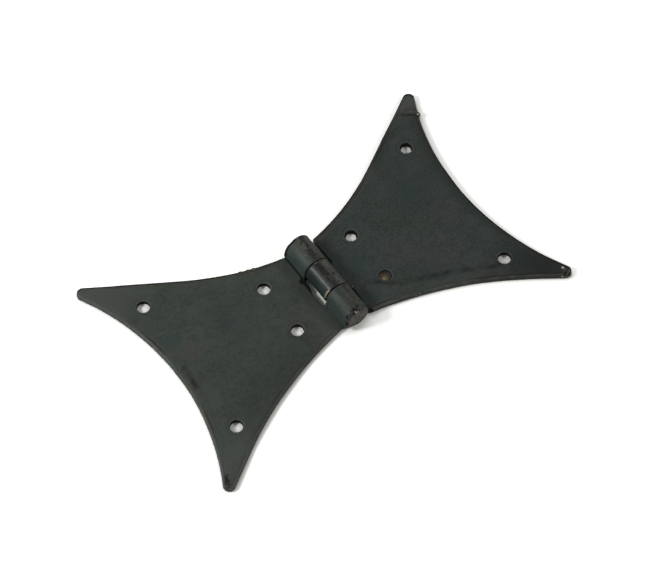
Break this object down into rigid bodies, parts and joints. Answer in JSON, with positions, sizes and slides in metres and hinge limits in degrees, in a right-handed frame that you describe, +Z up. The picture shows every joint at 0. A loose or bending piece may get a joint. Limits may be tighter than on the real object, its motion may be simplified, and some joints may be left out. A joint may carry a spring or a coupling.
{
  "type": "butterfly hinge",
  "caption": "Flat hinge whose two winged leaves spread like a butterfly from a short rolled barrel, with round screw holes for surface fixing.",
  "frame": {"origin": "on the plane of the leaves' undersides, below the pin and midway between the wing tips", "axes": "+X across the pin towards the right leaf, +Y along the pin, +Z up out of the face that the leaves lie on"},
  "size_m": [0.14, 0.0906, 0.0094],
  "materials": {
    "dark_steel_left": "satin, waxed black",
    "dark_steel_right": "satin, waxed black",
    "pin_steel": "hammered, dull"
  },
  "bodies": {
    "frame_side": {"left_leaf": "dark_steel_left", "hinge_pin": "pin_steel"},
    "door_side": {"right_leaf": "dark_steel_right"}
  },
  "joints": [
    {"name": "leaf_fold", "type": "hinge", "parent": "frame_side", "child": "door_side", "pos_m": [0, -0.00165, 0.00468], "axis": [0, -1, 0], "range_deg": [-90, 180]}
  ]
}
